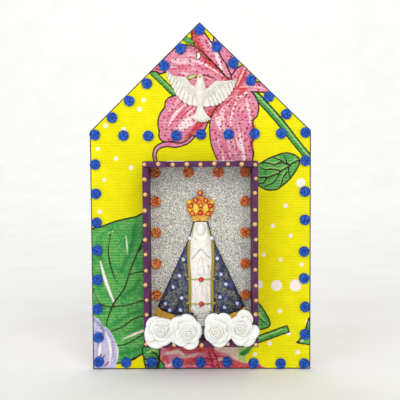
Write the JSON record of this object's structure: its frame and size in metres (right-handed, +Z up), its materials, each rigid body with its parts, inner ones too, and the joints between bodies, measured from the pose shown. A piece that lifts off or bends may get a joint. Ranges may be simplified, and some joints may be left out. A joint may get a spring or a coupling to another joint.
{
  "type": "chapel wall shrine",
  "caption": "House-shaped wall shrine: gabled board faced with floral cotton, a studded box niche holding a crowned figure, a dove relief in the gable and white roses at its foot.",
  "frame": {"origin": "middle of the sawtooth hanger's wall face, which lies against the wall", "axes": "+Z up towards the peak, -Y out of the wall towards the viewer, +X to the viewer's right"},
  "size_m": [0.22, 0.0479, 0.347],
  "materials": {
    "fibreboard": "bare medium-density fibreboard, cut edges scorched dark brown",
    "printed_cotton": "yellow plain-weave cotton printed with pink lilies and green leaves; blue glitter foam discs glued on",
    "niche_purple": "purple craft paint on fibreboard, gold half pearls on the rim",
    "silver_glitter": "silver glitter foam sheet",
    "orange_glitter": "orange-red glitter foam",
    "mantle_blue": "navy paint with gold tracery and clear pale-blue rhinestones",
    "robe_white": "white painted casting",
    "gold_braid": "metallic gold braid and cord",
    "pearl": "white pearl",
    "lining_ochre": "orange-gold satin",
    "red_stone": "red rhinestone",
    "crown_gold": "gold paint with glitter",
    "amber_stone": "orange rhinestone",
    "dove_resin": "cream-white cast resin, yellow beak",
    "rose_foam": "matte white craft foam",
    "hanger_steel": "zinc-plated steel"
  },
  "bodies": {
    "root": {"back_board": "fibreboard", "fabric_cover": "printed_cotton", "niche_top": "niche_purple", "niche_floor": "niche_purple", "niche_left_side": "niche_purple", "niche_right_side": "niche_purple", "niche_backing": "silver_glitter", "niche_disc_top_1": "orange_glitter", "niche_disc_top_2": "orange_glitter", "niche_disc_top_3": "orange_glitter", "niche_disc_top_4": "orange_glitter", "niche_disc_left_1": "orange_glitter", "niche_disc_left_2": "orange_glitter", "niche_disc_left_3": "orange_glitter", "niche_disc_left_4": "orange_glitter", "niche_disc_right_1": "orange_glitter", "niche_disc_right_2": "orange_glitter", "niche_disc_right_3": "orange_glitter", "niche_disc_right_4": "orange_glitter", "figure_mantle": "mantle_blue", "figure_robe": "robe_white", "robe_braid_left": "gold_braid", "shoulder_pearl_left": "pearl", "mantle_lining_left": "lining_ochre", "robe_braid_right": "gold_braid", "shoulder_pearl_right": "pearl", "mantle_lining_right": "lining_ochre", "sash_upper": "gold_braid", "sash_stone_upper": "red_stone", "sash_lower": "gold_braid", "sash_stone_lower": "red_stone", "crown": "crown_gold", "crown_stone_orb": "amber_stone", "crown_stone_top_left": "amber_stone", "crown_stone_top_right": "amber_stone", "crown_stone_lobe_left": "amber_stone", "crown_stone_lobe_right": "amber_stone", "crown_stone_middle": "amber_stone", "crown_stone_band_left": "amber_stone", "crown_stone_band_middle": "amber_stone", "crown_stone_band_right": "amber_stone", "dove": "dove_resin", "rose_1": "rose_foam", "rose_2": "rose_foam", "rose_3": "rose_foam", "rose_4": "rose_foam", "hanger_plate": "hanger_steel", "hanger_nail_left": "hanger_steel", "hanger_nail_right": "hanger_steel"}
  },
  "joints": []
}
